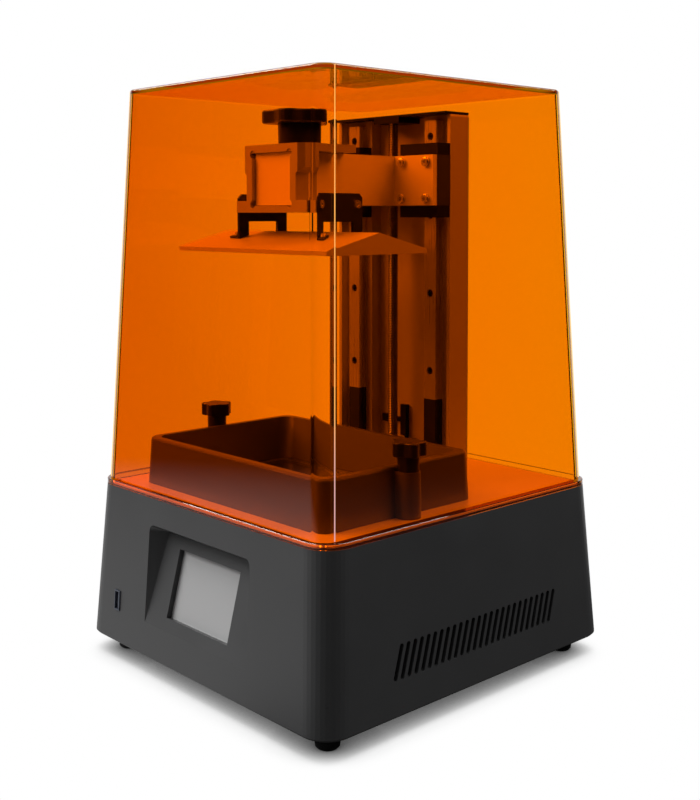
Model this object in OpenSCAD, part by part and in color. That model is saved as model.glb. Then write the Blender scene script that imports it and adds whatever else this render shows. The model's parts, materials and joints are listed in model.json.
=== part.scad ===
// Desktop resin printer: tapered housing, amber cover, resin vat, lift arm on twin rails.
// Front is -Y, the vented side seen first is +X, and the feet stand on z = 0.

/* [Housing] */
// Width of the housing at its foot
housing_w = 280; // [270:1:310]
// Depth of the housing at its foot
housing_d = 290; // [280:1:320]
// Height of the housing, from the bottom plate to the rim under the cover
housing_h = 116; // [110:1:126]
// How far each side leans in over that height
housing_lean = 7; // [4:0.5:9]
// Radius of the upright corners
corner_r = 20; // [14:1:24]
// Wall of the moulded housing
wall = 3; // [2.4:0.1:4]
// Bevel around the foot of the housing
foot_bevel = 1.6; // [0.8:0.1:3]
// Height of the rubber feet
foot_h = 14; // [12:0.5:18]
// Radius of a foot where it meets the housing
foot_r = 10; // [8:0.5:12]
// Distance of each foot's centre from the housing's edges
foot_inset = 24; // [22:1:30]

/* [Control panel] */
// Sideways place of the control panel
panel_x = 1; // [-6:0.5:6]
// Height of the panel's lower edge, where it is flush with the front
panel_z = 39.5; // [36:0.5:44]
// Width of the recess on the front face
panel_w = 121; // [112:1:126]
// Height of the recess on the front face
panel_h = 72.5; // [70:0.5:76]
// How far the panel tilts back from upright
panel_tilt = 14.3; // [12:0.1:16]
// How far the recess narrows towards the panel at each side of its top
panel_draft = 8.5; // [5:0.5:10]
// Thickness of the moulding behind the panel
panel_wall = 4; // [3:0.1:5]
// Width of the screen window
window_w = 71.6; // [68:0.2:76]
// Height of the screen window, up the slope
window_h = 48.8; // [44:0.2:50]
// Distance of the window from the panel's lower edge, up the slope
window_up = 9.1; // [8:0.1:12]
// Thickness of the touch screen
screen_t = 4; // [3:0.1:6]

/* [Vents and ports] */
// Number of slots on each side
vent_count = 26; // [16:1:26]
// Spacing of the slots
vent_pitch = 6.35; // [5.8:0.05:6.4]
// Width of one slot
vent_slot_w = 3.4; // [2.4:0.1:3.8]
// Height of the slots from end to end
vent_h = 23; // [18:0.5:26]
// Height of the middle of the slots
vent_z = 49.2; // [44:0.2:56]
// How far the slots lean to the back over their height
vent_lean = 8; // [4:0.5:10]
// Sideways place of the USB socket
usb_x = -97; // [-100:0.5:-84]
// Height of the USB socket's middle
usb_z = 46; // [42:0.5:52]
// Side of the square rear fan
fan_w = 60; // [50:10:60]
// Sideways place of the rear fan
fan_x = 62; // [56:1:70]
// Height of the fan's middle
fan_z = 68; // [64:1:72]
// Sideways place of the socket and switch at the rear
power_x = -62; // [-70:1:-56]

/* [Deck and cover] */
// Thickness of the deck
deck_t = 3; // [2:0.5:4]
// How far the deck stands above the housing's rim
deck_proud = 1; // [0.5:0.1:1.5]
// Height of the cover above the housing
cover_h = 301; // [296:1:330]
// Width of the cover at its foot
cover_w = 254.4; // [250:0.2:258]
// Depth of the cover at its foot
cover_d = 269.6; // [264:0.2:272]
// How far the cover's left and right walls lean in
cover_lean_x = 13; // [8:0.5:15]
// How far the cover's front and rear walls lean in
cover_lean_y = 12; // [8:0.5:13]
// Wall of the cover
cover_wall = 3; // [2:0.1:3.4]
// Radius of the cover's upright corners
cover_r = 12; // [9:0.5:14]
// Thickness of the flange around the cover's foot
flange_t = 4; // [3:0.1:5]

/* [Vat] */
// Width of the vat at its rim, without its ears
vat_w = 204; // [198:1:206]
// Depth of the vat at its rim
vat_d = 142; // [136:1:144]
// Height of the vat
vat_h = 35; // [32:0.5:35.5]
// How far the vat's walls lean out towards its foot
vat_lean = 1.5; // [1:0.25:3]
// Thickness of the vat's wall at the rim
vat_wall = 5; // [4:0.25:6]
// Distance of the vat's middle in front of the origin
vat_y = 41; // [40:0.5:42]
// Distance of the clamping knobs from the middle of the vat
vat_knob_x = 107.5; // [106:0.5:108]
// Radius of a clamping knob's head
vat_knob_r = 12.4; // [10:0.2:12.8]
// Length of the exposure window, left to right
lcd_w = 173; // [160:1:174]
// Depth of the exposure window
lcd_d = 98; // [84:1:100]

/* [Lift] */
// Width of the column
column_w = 124; // [118:1:128]
// Place of the column's front edges behind the origin
column_y = 50; // [49:0.5:52]
// Depth of the column
column_d = 21; // [19:0.5:26]
// Room between the column's top and the top of the cover
column_gap = 17; // [14:0.5:20]
// Distance of each rail from the middle
rail_x = 42.5; // [41:0.5:44]
// Width of a rail
rail_w = 12; // [10:0.5:13]
// Height of a rail off the column
rail_t = 8; // [7:0.25:9]
// Spacing of the screws along a rail
rail_pitch = 60; // [40:5:60]
// Radius of the lead screw
screw_r = 4; // [3:0.25:5]
// Running clearance around shafts and studs
running_gap = 0.05; // [0.02:0.01:0.1]
// Clearance between parts that sit or slide in each other
fit_gap = 0.3; // [0.2:0.05:0.5]

/* [Arm and build plate] */
// Distance of the parked arm's underside below the column's top
arm_drop = 70.8; // [70:0.1:72]
// Height of the arm's section
arm_h = 37.8; // [36:0.1:39]
// Width of the arm
arm_w = 43; // [40:0.5:46]
// Distance of the arm's end in front of the origin
arm_reach = 71; // [69:0.5:73]
// Distance of the build plate's middle in front of the origin
plate_y = 45.5; // [43:0.5:47]
// Width of the build plate
plate_w = 168; // [150:1:172]
// Depth of the build plate
plate_d = 94; // [84:1:98]
// Thickness of the build plate at its edges
plate_edge = 3.1; // [2.6:0.1:6]
// Height of the build plate's ridge above its underside
plate_ridge = 15; // [12:0.5:16]
// Distance from the arm's underside down to the plate's underside
plate_drop = 34.2; // [32:0.1:36]
// Radius of the clamp's star knob, to the tips of its lobes
knob_r = 26; // [22:0.2:27]
// Height of the star knob's head
knob_head_h = 9.6; // [8:0.2:12]
// Height of the star knob's stem
knob_stem_h = 15.6; // [12:0.2:17]

/* [Hidden] */
eps = 0.01;
slab = 0.02;
$fn = 48;

rim_z = foot_h + housing_h;
deck_z = rim_z + deck_proud;
column_top = rim_z + cover_h - column_gap;
arm_z = column_top - arm_drop;
lean_per_mm = housing_lean / housing_h;
front_angle = atan(lean_per_mm);
function side_x(z) = housing_w / 2 - (z - foot_h) * lean_per_mm;
function front_y(z) = -housing_d / 2 + (z - foot_h) * lean_per_mm;

rim_w = housing_w - 2 * housing_lean;
rim_d = housing_d - 2 * housing_lean;
deck_w = cover_w - 2 * cover_wall - 2;
deck_d = cover_d - 2 * cover_wall - 2;
deck_r = cover_r - cover_wall;
deck_ledge = 6;

floor_t = 2;
board_w = 90;
board_d = 76;
board_pillar = 8;
board_z = foot_h + floor_t + board_pillar;
board_x = -housing_w / 4;
board_y = housing_d / 2 - board_d / 2 - 37;
board_hole_w = board_w - 10;
board_hole_d = board_d - 12;
pad_y = housing_d / 2 - 11;
pocket_y = housing_d / 2 - 6.5;
fan_t = 15;
fan_bore_r = fan_w / 2 - 2;

window_x = panel_x + 0.5;
screen_margin = 2.5;

floor_y = column_y + rail_t - 1;
groove_w = 60;
groove_y = column_y + column_d - 4;
rail_y = floor_y - rail_t;
rail_z0 = deck_z + 4;
rail_foot_top = rail_z0 + 59;
rail_top = column_top - 6;
screw_y = column_y + 1.5;
block_w = 40;
block_y0 = rail_y - 13.4;
block_y1 = column_y - fit_gap;
skirt_w = 8;
skirt_y1 = floor_y - 3;
cap_t = 9;
cap_inset = 0.5;
arm_plate_t = 4.4;
arm_plate_w = 2 * rail_x + block_w - 1;
arm_y0 = block_y0 - arm_plate_t;
arm_top = arm_z + arm_h;
nut_w = 30;
nut_h = 28;

plate_z = arm_z - plate_drop;
head_top_t = 6;
head_front_t = 12;
head_w = 68;
neck_w = 56;
head_bevel = 4;
tenon_sink = 3.5;
foot_w = 80;
head_depth = 50;
stud_r = 4;
head_foot_t = 5.4;
bracket_t = 2.4;
bracket_w = 46;
bracket_leg = 9;
gable_angle = atan((plate_ridge - plate_edge) / (plate_d / 2));

// Rectangle with round corners, centred
module round_rect(w, d, r) {
    square([w - 2 * r, d], center = true);
    square([w, d - 2 * r], center = true);
    for (x = [-1, 1], y = [-1, 1])
        translate([x * (w / 2 - r), y * (d / 2 - r)]) circle(r);
}

// Straight sided slab with round corners, from z = 0
module round_slab(w, d, h, r) {
    linear_extrude(h) round_rect(w, d, r);
}

// Box that leans in by lean_x and lean_y over its height, with round upright corners
module leaning_box(w, d, h, r, lean_x, lean_y, bevel = 0) {
    hull() {
        $fn = 40;
        if (bevel > 0)
            round_slab(w - 2 * bevel, d - 2 * bevel, slab, r - bevel);
        translate([0, 0, bevel])
            round_slab(w, d, slab, r);
        translate([0, 0, h - slab])
            round_slab(w - 2 * lean_x, d - 2 * lean_y, slab, r);
    }
}

// Cylinder along +Y from the origin
module along_y(r, h) {
    rotate([-90, 0, 0]) cylinder(r = r, h = h);
}

// Cylinder along +X from the origin
module along_x(r, h) {
    rotate([0, 90, 0]) cylinder(r = r, h = h);
}

// Socket head screw standing on z = 0, with its shank below
module cap_screw(head_r, head_h, shank_r, shank_h) {
    difference() {
        cylinder(r = head_r, h = head_h);
        translate([0, 0, head_h * 0.4])
            cylinder(r = head_r * 0.55, h = head_h, $fn = 6);
    }
    if (shank_h > 0)
        translate([0, 0, -shank_h]) cylinder(r = shank_r, h = shank_h + eps);
}

// Places its children on the sloping panel: x across, z up the slope, y into the housing
module on_panel() {
    translate([panel_x, front_y(panel_z), panel_z])
        rotate([-panel_tilt, 0, 0]) children();
}

// Places its children on the leaning front face at the panel's lower edge
module on_front() {
    translate([panel_x, front_y(panel_z), panel_z])
        rotate([-front_angle, 0, 0]) children();
}

// Outline of the recess on the front face, grown by g
module recess_outline(g) {
    top_r = 6 + g;
    translate([0, panel_h / 2]) {
        translate([0, -top_r / 2])
            square([panel_w + 2 * g, panel_h + 2 * g - top_r], center = true);
        for (side = [-1, 1])
            translate([side * (panel_w / 2 + g - top_r), panel_h / 2 + g - top_r]) circle(top_r);
    }
}

// Outline of the panel itself, grown by g
module panel_outline(g) {
    panel_rise = (panel_h - panel_draft + 1) / cos(panel_tilt);
    polygon([
        [-panel_w / 2 - g, -g], [panel_w / 2 + g, -g],
        [panel_w / 2 - panel_draft + g, panel_rise + g], [-panel_w / 2 + panel_draft - g, panel_rise + g]
    ]);
}

// Wedge between the front face and the tilted panel, grown by g; out is how far it stands out in front
module panel_wedge(g, out) {
    hull() {
        $fn = 32;
        on_front() translate([0, -out, 0])
            rotate([90, 0, 0]) linear_extrude(slab) recess_outline(g);
        on_panel() translate([0, g, 0])
            rotate([90, 0, 0]) linear_extrude(slab) panel_outline(g);
    }
}

// One leaning vent slot as a cutter along X
module vent_cutter() {
    reach = vent_h / 2 - vent_slot_w / 2;
    angle = atan(vent_lean / vent_h);
    rotate([-angle, 0, 0]) rotate([90, 0, 90])
        linear_extrude(4 * wall + housing_lean, center = true) {
            square([vent_slot_w, 2 * reach / cos(angle)], center = true);
            for (end = [-1, 1]) translate([0, end * reach / cos(angle)]) circle(vent_slot_w / 2, $fn = 24);
        }
}

module vents() {
    span = (vent_count - 1) * vent_pitch;
    for (side = [-1, 1], i = [0 : vent_count - 1])
        translate([side * side_x(vent_z), i * vent_pitch - span / 2, vent_z]) vent_cutter();
}

// Places its children at the four corners of a rectangle
module at_corners(w, d) {
    for (x = [-1, 1], y = [-1, 1]) translate([x * w / 2, y * d / 2, 0]) children();
}

boss_w = housing_w - 2 * (wall + 9);
boss_d = housing_d - 2 * (wall + 9);
boss_h = 20;

module housing() {
    color([0.09, 0.09, 0.095]) difference() {
        union() {
            difference() {
                translate([0, 0, foot_h])
                    leaning_box(housing_w, housing_d, housing_h, corner_r, housing_lean, housing_lean, foot_bevel);
                translate([0, 0, foot_h - wall])
                    leaning_box(housing_w - 2 * wall + 0.36, housing_d - 2 * wall + 0.36,
                        housing_h - 2, corner_r - wall, housing_lean, housing_lean);
            }
            panel_wedge(panel_wall, -1);
            rear_pads();
            translate([0, 0, foot_h + floor_t + fit_gap])
                at_corners(boss_w, boss_d) cylinder(r = 7, h = boss_h);
        }
        panel_wedge(0, 2);
        on_panel() translate([window_x - panel_x - window_w / 2, -1, window_up])
            cube([window_w, 2 * panel_wall, window_h]);
        vents();
        usb_place() cube([7.4, 4 * wall, 15.4], center = true);
        rear_openings();
        translate([0, 0, rim_z - 7])
            round_slab(deck_w - 2 * deck_ledge, deck_d - 2 * deck_ledge, 8, deck_r);
        translate([0, 0, deck_z - deck_t])
            round_slab(deck_w + 2 * fit_gap, deck_d + 2 * fit_gap, deck_t + 1, deck_r + fit_gap);
        translate([0, 0, foot_h]) at_corners(boss_w, boss_d) cylinder(r = 1.6, h = boss_h);
        translate([0, 0, deck_z - deck_t - 4]) deck_screw_places() cylinder(r = 1.5 + running_gap, h = 6);
    }
}

// Flat pads inside the leaning rear wall, for the fan and the power parts
module rear_pads() {
    translate([fan_x - fan_w / 2 - 2, pad_y, fan_z - fan_w / 2 - 2])
        cube([fan_w + 4, 7, fan_w + 4]);
    translate([power_x - 24, pad_y, fan_z - 25])
        cube([48, 7, 50]);
}

module rear_openings() {
    translate([fan_x, pad_y - 1, fan_z]) along_y(fan_bore_r, 20);
    translate([power_x - 22, pocket_y, fan_z - 23]) cube([44, 20, 46]);
    translate([power_x, pad_y - 1, fan_z - 11]) along_y(7, 20);
    translate([power_x - 11, pad_y - 1, fan_z + 3]) cube([22, 20, 14]);
}

module usb_place() {
    translate([usb_x, front_y(usb_z), usb_z]) rotate([-front_angle, 0, 0]) children();
}

module bottom_plate() {
    plate_gap = wall + fit_gap + foot_bevel;
    color([0.13, 0.13, 0.135]) {
        difference() {
            translate([0, 0, foot_h])
                round_slab(housing_w - 2 * plate_gap, housing_d - 2 * plate_gap, floor_t, corner_r - plate_gap);
            translate([0, 0, foot_h - 1]) at_corners(boss_w, boss_d) cylinder(r = 2, h = floor_t + 2);
            for (i = [-4 : 4]) translate([60, 20 + i * 9, foot_h - 1])
                round_slab(60, 4, floor_t + 2, 1.9);
        }
        translate([board_x, board_y, foot_h + floor_t - eps]) at_corners(board_hole_w, board_hole_d)
            difference() {
                cylinder(r = 3, h = board_pillar + eps);
                translate([0, 0, 2]) cylinder(r = 1.3, h = board_pillar);
            }
    }
}

module rubber_feet() {
    foot_edge = 1.5;
    color([0.03, 0.03, 0.03])
        at_corners(housing_w - 2 * foot_inset, housing_d - 2 * foot_inset)
            rotate_extrude() {
                polygon([[0, 0], [foot_r - 2 - foot_edge, 0], [foot_r - 2, foot_edge],
                    [foot_r, foot_h], [0, foot_h]]);
            }
}

module deck() {
    color([0.62, 0.62, 0.63]) difference() {
        translate([0, 0, deck_z - deck_t]) round_slab(deck_w, deck_d, deck_t, deck_r);
        translate([0, -vat_y, deck_z - deck_t - 1])
            round_slab(lcd_w + 2 * fit_gap, lcd_d + 2 * fit_gap, deck_t + 2, 3);
        translate([0, screw_y, deck_z - deck_t - 1]) cylinder(r = 11 + fit_gap, h = deck_t + 2);
        for (side = [-1, 1]) translate([side * vat_knob_x, -vat_y, deck_z - deck_t - 1])
            cylinder(r = vat_stud_r + running_gap, h = deck_t + 2);
        translate([0, 0, deck_z - deck_t - 1]) deck_screw_places() cylinder(r = 1.7, h = deck_t + 2);
    }
}

module deck_screw_places() {
    at_corners(deck_w - deck_ledge - 2, deck_d - deck_ledge - 2) children();
}

module deck_screws() {
    color([0.5, 0.5, 0.5]) translate([0, 0, deck_z]) deck_screw_places()
        difference() {
            union() {
                cylinder(r1 = 2.9, r2 = 2.3, h = 0.9);
                translate([0, 0, -deck_t - 2]) cylinder(r = 1.5, h = deck_t + 2 + eps);
            }
            translate([0, 0, 0.3]) cylinder(r = 1.2, h = 1, $fn = 6);
        }
}

module exposure_window() {
    color([0.02, 0.02, 0.025]) translate([0, -vat_y, deck_z - deck_t])
        round_slab(lcd_w, lcd_d, deck_t - 0.1, 2.6);
}

hood_top_w = lcd_w + 14;
hood_top_d = lcd_d + 14;
hood_h = 62;
hood_z = deck_z - deck_t - hood_h;
hood_foot_w = 120;
hood_foot_d = 74;

// Reflector between the lamp and the exposure window, hung under the deck by its flange
module light_hood() {
    color([0.55, 0.56, 0.58]) translate([0, -vat_y, hood_z]) difference() {
        union() {
            hull() {
                round_slab(hood_foot_w, hood_foot_d, slab, 4);
                translate([0, 0, hood_h - 1.5]) round_slab(lcd_w + 3, lcd_d + 3, slab, 4);
            }
            translate([0, 0, hood_h - 1.5]) round_slab(hood_top_w, hood_top_d, 1.5, 4);
        }
        hull() {
            translate([0, 0, 2]) round_slab(hood_foot_w - 4, hood_foot_d - 4, slab, 2);
            translate([0, 0, hood_h + 1]) round_slab(lcd_w - 1, lcd_d - 1, slab, 2);
        }
    }
}

module led_board() {
    color([0.85, 0.86, 0.84]) translate([0, -vat_y, hood_z + 2]) {
        round_slab(hood_foot_w - 8, hood_foot_d - 8, 1.6, 2);
        for (i = [-3 : 3], j = [-1 : 1]) translate([i * 15, j * 20, 1.6 - eps])
            cylinder(r1 = 5, r2 = 3.5, h = 4, $fn = 24);
    }
}

module heat_sink() {
    sink_w = 100;
    sink_d = 60;
    sink_h = 22;
    color([0.7, 0.7, 0.71]) translate([0, -vat_y, hood_z - sink_h]) {
        translate([-sink_w / 2, -sink_d / 2, sink_h - 5]) cube([sink_w, sink_d, 5]);
        for (i = [0 : 12]) translate([-sink_w / 2 + i * (sink_w - 2) / 12, -sink_d / 2, 0])
            cube([2, sink_d, sink_h - 5 + eps]);
    }
}

// Screen module behind the window, its glass facing down the slope
module touch_screen() {
    color([0.6, 0.6, 0.6]) on_panel()
        translate([window_x - panel_x - window_w / 2 - screen_margin,
                panel_wall + fit_gap - 0.1, window_up - screen_margin])
            cube([window_w + 2 * screen_margin, screen_t, window_h + 2 * screen_margin]);
}

module usb_socket() {
    color([0.2, 0.22, 0.3]) usb_place() translate([0, 5.5, 0]) {
        difference() {
            cube([7.4 - 2 * fit_gap, 13, 15.4 - 2 * fit_gap], center = true);
            translate([0, -2, 0]) cube([5.2, 13, 13], center = true);
        }
        translate([0.9, 0, 0]) cube([1.6, 11, 11.4], center = true);
    }
}

module main_board() {
    color([0.05, 0.22, 0.12]) translate([board_x, board_y, board_z]) {
        difference() {
            translate([-board_w / 2, -board_d / 2, 0]) cube([board_w, board_d, 1.6]);
            translate([0, 0, -1]) at_corners(board_hole_w, board_hole_d) cylinder(r = 1.6, h = 4);
        }
        for (part = [[-30, -20, 16, 16, 3], [0, -24, 22, 12, 8], [4, 6, 18, 18, 10], [-32, 12, 24, 10, 12], [28, -14, 10, 30, 9]])
            translate([part[0], part[1], 1.6 - eps]) cube([part[2], part[3], part[4]]);
    }
}

module fan_frame() {
    color([0.04, 0.04, 0.04]) translate([fan_x, pad_y - fan_t - 0.1, fan_z]) {
        difference() {
            translate([-fan_w / 2, 0, -fan_w / 2]) cube([fan_w, fan_t, fan_w]);
            translate([0, -1, 0]) along_y(fan_bore_r, fan_t + 2);
            for (x = [-1, 1], z = [-1, 1])
                translate([x * (fan_w / 2 - 4), -1, z * (fan_w / 2 - 4)]) along_y(2, fan_t + 2);
        }
        along_y(13, 2);
        for (a = [45 : 90 : 315]) rotate([0, a, 0]) translate([0, 0, -2]) cube([fan_w / 2 - 1, 2, 4]);
        translate([0, 2 - eps, 0]) along_y(2, 8);
    }
}

module fan_rotor() {
    blade_count = 7;
    color([0.06, 0.06, 0.065]) translate([fan_x, pad_y - fan_t + 2.4, fan_z]) {
        difference() {
            along_y(12.5, 11);
            translate([0, -1, 0]) along_y(2 + running_gap, 9.5);
        }
        for (i = [0 : blade_count - 1]) rotate([0, i * 360 / blade_count, 0])
            translate([10.5, 1.2, 0]) rotate([40, 0, 0])
                translate([0, 0, -1]) cube([fan_bore_r - 11.8, 11, 1.4]);
    }
}

// Wire guard in the fan's opening
module fan_guard() {
    wire = 1;
    color([0.25, 0.25, 0.25]) translate([fan_x, pocket_y - 0.6, fan_z]) {
        for (r = [7 : 7 : fan_bore_r - 2]) rotate([-90, 0, 0])
            rotate_extrude() translate([r, 0]) circle(wire, $fn = 16);
        for (a = [0, 90]) rotate([0, a, 0])
            translate([-fan_bore_r + fit_gap, 0, -wire]) cube([2 * fan_bore_r - 2 * fit_gap, 1.6, 2 * wire]);
    }
}

module power_socket() {
    color([0.05, 0.05, 0.05]) translate([power_x, pocket_y, fan_z - 11]) difference() {
        union() {
            along_y(8.5, 1.5);
            translate([0, -18, 0]) along_y(7 - fit_gap, 18 + eps);
        }
        translate([0, -12, 0]) along_y(4, 16);
    }
    color([0.7, 0.7, 0.7]) translate([power_x, pocket_y - 12 - eps, fan_z - 11]) along_y(1, 11);
}

rocker_w = 12;
rocker_h = 8;
rocker_pin_r = 1.2;

module switch_frame() {
    color([0.05, 0.05, 0.05]) translate([power_x, pocket_y, fan_z + 10]) difference() {
        union() {
            translate([-13, 0, -9]) cube([26, 1.5, 18]);
            translate([-11 + fit_gap, -18, -7 + fit_gap]) cube([22 - 2 * fit_gap, 18 + eps, 14 - 2 * fit_gap]);
        }
        translate([-rocker_w / 2 - 0.4, -9, -rocker_h / 2 - 0.4]) cube([rocker_w + 0.8, 12, rocker_h + 0.8]);
        translate([0, -2, -rocker_h / 2 - 2]) cylinder(r = rocker_pin_r + running_gap, h = rocker_h + 4);
    }
}

// Rocker that tips left and right about an upright pin
module switch_rocker() {
    color([0.07, 0.07, 0.07]) translate([power_x, pocket_y - 2, fan_z + 10]) {
        translate([0, 0, -rocker_h / 2]) linear_extrude(rocker_h)
            polygon([[-rocker_w / 2 + 0.5, -2], [-2, -4], [2, -4], [rocker_w / 2 - 0.5, -2], [rocker_w / 2 - 0.5, 2.6],
                [0, 3.4], [-rocker_w / 2 + 0.5, 2.6]]);
        translate([0, 0, -rocker_h / 2 - 1.6]) cylinder(r = rocker_pin_r, h = rocker_h + 3.2);
    }
}

// Extruded column: open channel towards the front with a deeper groove for the lead screw
module column() {
    half = column_w / 2;
    back = column_y + column_d;
    side_t = 3;
    color([0.16, 0.155, 0.15]) difference() {
        translate([0, 0, deck_z]) linear_extrude(column_top - deck_z) polygon([
            [-half, column_y], [-half + side_t, column_y], [-half + side_t, floor_y],
            [-groove_w / 2, floor_y], [-groove_w / 2, groove_y], [groove_w / 2, groove_y], [groove_w / 2, floor_y],
            [half - side_t, floor_y], [half - side_t, column_y], [half, column_y],
            [half, back], [-half, back]
        ]);
        for (side = [-1, 1]) translate([side * half, back + 1, column_top]) rotate([90, 0, 0])
            difference() {
                translate([0, 0, -1]) cube([8, 8, column_d + 30], center = true);
                translate([-side * 4, -4, -1]) cylinder(r = 4, h = column_d + 31, center = true);
            }
        rail_screw_places() translate([0, floor_y - 1, 0]) along_y(1.6, 8);
    }
}

module rail_screw_places() {
    first = rail_z0 + 21;
    for (side = [-1, 1], i = [0 : floor((rail_top - first - 4) / rail_pitch)])
        translate([side * rail_x, 0, first + i * rail_pitch]) children();
}

// Guide rail profile: waisted, so that the block can hold it
module rail_profile() {
    half = rail_w / 2;
    waist = half - 1.2;
    polygon([[-half, 0], [-half, 1.6], [-waist, 3], [-waist, rail_t - 3], [-half, rail_t - 1.6], [-half, rail_t],
        [half, rail_t], [half, rail_t - 1.6], [waist, rail_t - 3], [waist, 3], [half, 1.6], [half, 0]]);
}

module rail_length(side, z0, z1) {
    difference() {
        translate([side * rail_x, rail_y, z0]) linear_extrude(z1 - z0) rail_profile();
        rail_screw_places() {
            translate([0, rail_y - 1, 0]) along_y(3, 4.5);
            translate([0, rail_y - 1, 0]) along_y(1.7, rail_t + 2);
        }
    }
}

module rail_left() { color([0.75, 0.75, 0.76]) rail_length(-1, rail_foot_top, rail_top); }

module rail_right() { color([0.75, 0.75, 0.76]) rail_length(1, rail_foot_top, rail_top); }

module rail_foot_left() { color([0.03, 0.03, 0.03]) rail_length(-1, rail_z0, rail_foot_top); }

module rail_foot_right() { color([0.03, 0.03, 0.03]) rail_length(1, rail_z0, rail_foot_top); }

module rail_screws() {
    color([0.15, 0.15, 0.15]) rail_screw_places() translate([0, rail_y + 3.4, 0]) rotate([90, 0, 0])
        cap_screw(2.7, 2.4, 1.5, rail_t - 1);
}

module z_motor() {
    motor_w = 42.3;
    motor_h = 40;
    color([0.12, 0.12, 0.12]) translate([0, screw_y, deck_z - deck_t]) difference() {
        union() {
            translate([0, 0, -motor_h]) linear_extrude(motor_h) difference() {
                square(motor_w, center = true);
                for (a = [45 : 90 : 315]) rotate(a) translate([motor_w / 2 + 6, 0]) square(8, center = true);
            }
            cylinder(r = 11, h = 2);
        }
        translate([0, 0, -24]) cylinder(r = 2.5 + running_gap, h = 30);
    }
}

coupler_z = deck_z + 2.6;
coupler_h = 25;

module motor_shaft() {
    color([0.8, 0.8, 0.8]) translate([0, screw_y, deck_z - deck_t - 23])
        cylinder(r = 2.5, h = 23 + deck_t + 2.6 + coupler_h / 2 - 1);
}

module coupler() {
    color([0.7, 0.7, 0.71]) translate([0, screw_y, coupler_z]) difference() {
        cylinder(r = 9.5, h = coupler_h);
        translate([0, 0, -1]) cylinder(r = 2.5 + 0.02, h = coupler_h / 2 + 2);
        translate([0, 0, coupler_h / 2]) cylinder(r = screw_r + 0.02, h = coupler_h);
        for (z = [5, 20]) translate([0, -4, z]) rotate([90, 0, 0]) cylinder(r = 1.8, h = 8);
    }
}

module lead_screw() {
    color([0.6, 0.6, 0.6]) translate([0, screw_y, coupler_z + coupler_h / 2 + 1])
        cylinder(r = screw_r, h = column_top - coupler_z - coupler_h / 2 - 3);
}

module top_bearing() {
    bearing_h = 5;
    bearing_w = 28;
    color([0.1, 0.1, 0.1]) translate([0, screw_y, column_top - bearing_h - 1]) difference() {
        translate([-bearing_w / 2, -8, 0]) cube([bearing_w, groove_y - screw_y + 8, bearing_h]);
        translate([0, 0, -1]) cylinder(r = screw_r + running_gap, h = bearing_h + 2);
    }
}

module limit_sensor() {
    sensor_z = deck_z + 24;
    sensor_h = 28;
    color([0.05, 0.05, 0.05]) {
        translate([-3, groove_y - 4, sensor_z]) cube([6, 4, sensor_h]);
        translate([-24, groove_y - 4, sensor_z + 12]) cube([11, 4, 6]);
        translate([-14, groove_y - 1.5, sensor_z + 13]) cube([12, 1.5, 4]);
    }
}

// Rail block with a slot for the rail
module guide_block(side) {
    difference() {
        union() {
            translate([side * rail_x - block_w / 2, block_y0, arm_z]) cube([block_w, block_y1 - block_y0, arm_h]);
            translate([side * rail_x, 0, arm_z]) block_skirts(arm_h);
        }
        rail_slot(side, arm_z - 1, arm_h + 2);
        arm_screw_places() translate([0, block_y0 - 1, 0]) along_y(1.7, 7);
    }
}

// The block's two sides reach into the column's channel, left and right of the rail
module block_skirts(h) {
    for (side = [-1, 1]) translate([side * (rail_w / 2 + fit_gap + skirt_w / 2) - skirt_w / 2, block_y1 - 1, 0])
        cube([skirt_w, skirt_y1 - block_y1 + 1, h]);
}

module rail_slot(side, z, h) {
    translate([side * rail_x - rail_w / 2 - fit_gap, rail_y - fit_gap, z])
        cube([rail_w + 2 * fit_gap, 10, h]);
}

module block_left() { color([0.5, 0.5, 0.5]) guide_block(-1); }

module block_right() { color([0.5, 0.5, 0.5]) guide_block(1); }

module block_caps() {
    color([0.02, 0.02, 0.02]) for (side = [-1, 1]) difference() {
        for (z = [arm_z - cap_t, arm_z + arm_h]) {
            translate([side * rail_x - block_w / 2 + cap_inset, block_y0 + cap_inset, z])
                cube([block_w - 2 * cap_inset, block_y1 - block_y0 - cap_inset, cap_t]);
            translate([side * rail_x, 0, z]) block_skirts(cap_t);
        }
        rail_slot(side, arm_z - 20, arm_h + 40);
    }
}

module arm_screw_places() {
    for (side = [-1, 1], x = [-1, 1], z = [-1, 1])
        translate([side * rail_x + x * 12.5, 0, arm_z + arm_h / 2 + z * 13.8]) children();
}

// Arm with its mounting flange; its front end is the tenon that the build head slides on
module lift_arm() {
    color([0.68, 0.68, 0.69]) difference() {
        union() {
            translate([-arm_w / 2, tenon_y, arm_z]) cube([arm_w, arm_y0 - tenon_y + eps, arm_h]);
            translate([-arm_plate_w / 2, arm_y0, arm_z]) cube([arm_plate_w, arm_plate_t, arm_h]);
        }
        arm_screw_places() translate([0, arm_y0 - 1, 0]) along_y(1.7, arm_plate_t + 2);
        translate([0, arm_y0 - 2, arm_z + arm_h / 2]) nut_screw_places() along_y(1.7, arm_plate_t + 4);
    }
}

module nut_screw_places() {
    for (x = [-1, 1]) translate([x * 11, 0, 0]) children();
}

module arm_screws() {
    color([0.7, 0.7, 0.7]) arm_screw_places() translate([0, arm_y0, 0]) rotate([90, 0, 0])
        cap_screw(2.9, 2.6, 1.5, arm_plate_t + 4);
}

module screw_nut() {
    color([0.62, 0.5, 0.25]) difference() {
        translate([-nut_w / 2, block_y0, arm_z + (arm_h - nut_h) / 2])
            cube([nut_w, screw_y + 9 - block_y0, nut_h]);
        translate([0, screw_y, arm_z - 10]) cylinder(r = screw_r + running_gap, h = arm_h + 20);
        translate([0, block_y0 - 1, arm_z + arm_h / 2]) nut_screw_places() along_y(1.5, 6);
    }
}

head_y0 = -arm_reach;
tenon_y = head_y0 + tenon_sink;
head_foot_z = arm_z - head_foot_t;

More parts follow.
